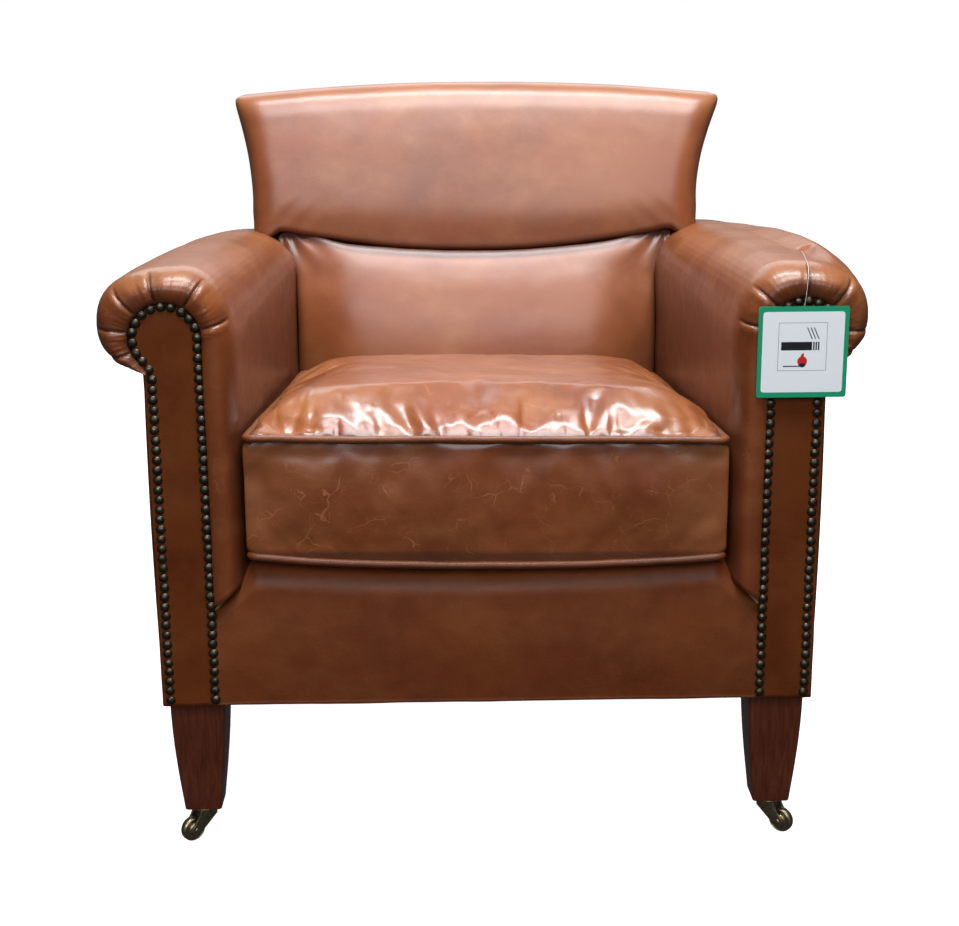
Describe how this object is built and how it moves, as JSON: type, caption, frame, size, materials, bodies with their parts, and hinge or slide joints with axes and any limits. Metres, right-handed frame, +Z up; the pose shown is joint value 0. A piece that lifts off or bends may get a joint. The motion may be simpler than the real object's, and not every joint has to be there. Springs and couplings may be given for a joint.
{
  "type": "worn club chair",
  "caption": "Low leather club armchair with rolled arms, nail-trimmed facings, a flared padded back, a loose box seat cushion, tapered wooden legs and brass front castors.",
  "frame": {"origin": "on the floor, under the middle of the chair's bounding box", "axes": "+X to the right for someone facing the chair, -Y is the way the sitter faces, +Z up"},
  "size_m": [0.782, 0.7534, 0.8],
  "materials": {
    "tan_leather": "satin",
    "beech": "matte",
    "mahogany": "satin",
    "stuffing": "matte",
    "jute": "matte",
    "spring_steel": "satin",
    "aged_brass": "satin",
    "dust_cloth": "matte",
    "clear_thread": "satin",
    "tag_card": "matte"
  },
  "bodies": {
    "chair": {"lumbar_cover": "tan_leather", "upper_back_cover": "tan_leather", "seat_front_border": "tan_leather", "seat_deck_cover": "tan_leather", "arm_cover_left": "tan_leather", "arm_cover_right": "tan_leather", "outside_arm_left": "tan_leather", "outside_arm_right": "tan_leather", "arm_facing_left": "tan_leather", "arm_facing_right": "tan_leather", "outside_back": "tan_leather", "cushion_cover": "tan_leather", "cushion_piping_top": "tan_leather", "cushion_piping_bottom": "tan_leather", "front_rail": "beech", "rear_rail": "beech", "side_rail_left": "beech", "side_rail_right": "beech", "arm_post_left": "beech", "arm_post_right": "beech", "back_post_left": "beech", "back_post_right": "beech", "crest_rail": "beech", "back_tack_rail": "beech", "arm_rail_left": "beech", "arm_rail_right": "beech", "front_leg_left": "mahogany", "front_leg_right": "mahogany", "rear_leg_left": "mahogany", "rear_leg_right": "mahogany", "seat_front_pad": "stuffing", "seat_deck_pad": "stuffing", "lumbar_pad": "stuffing", "upper_back_pad": "stuffing", "arm_pad_left": "stuffing", "arm_pad_right": "stuffing", "cushion_core": "stuffing", "seat_hessian": "jute", "back_web_1": "jute", "back_web_2": "jute", "back_web_3": "jute", "seat_spring_1": "spring_steel", "seat_spring_2": "spring_steel", "seat_spring_3": "spring_steel", "seat_spring_4": "spring_steel", "nail_trim_left": "aged_brass", "nail_trim_right": "aged_brass", "castor_plate_left": "aged_brass", "castor_plate_right": "aged_brass", "dust_cover": "dust_cloth", "tag_thread": "clear_thread", "swing_tag": "tag_card"},
    "castor_left": {"castor_horn_left": "aged_brass", "castor_axle_left": "aged_brass"},
    "castor_wheel_left": {"castor_wheel_left": "aged_brass"},
    "castor_right": {"castor_horn_right": "aged_brass", "castor_axle_right": "aged_brass"},
    "castor_wheel_right": {"castor_wheel_right": "aged_brass"}
  },
  "joints": [
    {"name": "castor_swivel_left", "type": "hinge", "parent": "chair", "child": "castor_left", "pos_m": [-0.315, -0.311, 0.033], "axis": [0, 0, 1], "continuous": true},
    {"name": "castor_roll_left", "type": "hinge", "parent": "castor_left", "child": "castor_wheel_left", "pos_m": [-0.32879, -0.32257, 0.014], "axis": [-0.6428, 0.766, 0], "continuous": true},
    {"name": "castor_swivel_right", "type": "hinge", "parent": "chair", "child": "castor_right", "pos_m": [0.315, -0.311, 0.033], "axis": [0, 0, 1], "continuous": true},
    {"name": "castor_roll_right", "type": "hinge", "parent": "castor_right", "child": "castor_wheel_right", "pos_m": [0.32879, -0.32257, 0.014], "axis": [0.6428, 0.766, 0], "continuous": true}
  ]
}
